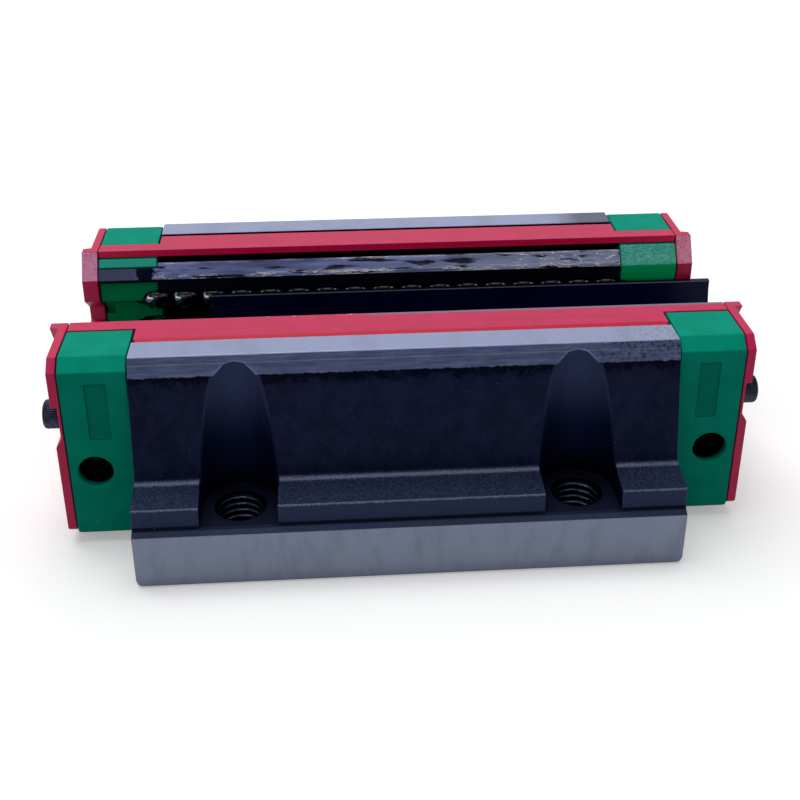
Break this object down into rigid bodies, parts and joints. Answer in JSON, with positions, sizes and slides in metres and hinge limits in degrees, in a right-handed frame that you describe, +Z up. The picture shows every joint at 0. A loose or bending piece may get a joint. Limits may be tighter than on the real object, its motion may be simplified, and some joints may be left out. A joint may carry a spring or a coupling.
{
  "type": "linear guide carriage",
  "caption": "Flanged recirculating-ball carriage of a linear guide, with end caps, seals and a plastic transport rail that slides out of its channel.",
  "frame": {"origin": "centre of the mounting face, on which the carriage lies upside down in the picture", "axes": "+X along the guide to the right of the picture, +Y away from its camera, +Z up from the mounting face to the leg tips"},
  "size_m": [0.1751, 0.12, 0.0503],
  "materials": {
    "steel": "hardened bearing steel, dark and milled on the sides, finely ground on the flange edges and leg tips",
    "ball_steel": "polished hardened steel balls",
    "green_moulding": "green engineering plastic, satin",
    "red_rubber": "dark red seal material, satin",
    "black_moulding": "dark moulded plastic",
    "transport_plastic": "black extruded plastic, slightly shiny",
    "black_steel": "black oxidised screw steel"
  },
  "bodies": {
    "carriage": {"block": "steel", "retainer_plate": "black_moulding", "end_cap_left": "green_moulding", "end_seal_left": "red_rubber", "grease_plug_left": "black_steel", "end_cap_right": "green_moulding", "end_seal_right": "red_rubber", "grease_plug_right": "black_steel", "bottom_seal_front": "red_rubber", "retainer_strip_front": "black_moulding", "balls_front_root": "ball_steel", "balls_front_tip": "ball_steel", "bottom_seal_rear": "red_rubber", "retainer_strip_rear": "black_moulding", "balls_rear_root": "ball_steel", "balls_rear_tip": "ball_steel", "return_guide_left_front": "green_moulding", "cap_screw_left_front": "black_steel", "return_guide_left_rear": "green_moulding", "cap_screw_left_rear": "black_steel", "return_guide_right_front": "green_moulding", "cap_screw_right_front": "black_steel", "return_guide_right_rear": "green_moulding", "cap_screw_right_rear": "black_steel"},
    "transport_rail": {"transport_rail": "transport_plastic"}
  },
  "joints": [
    {"name": "transport_slide", "type": "slide", "parent": "carriage", "child": "transport_rail", "axis": [1, 0, 0], "range_m": [-0.176, 0.136]}
  ]
}
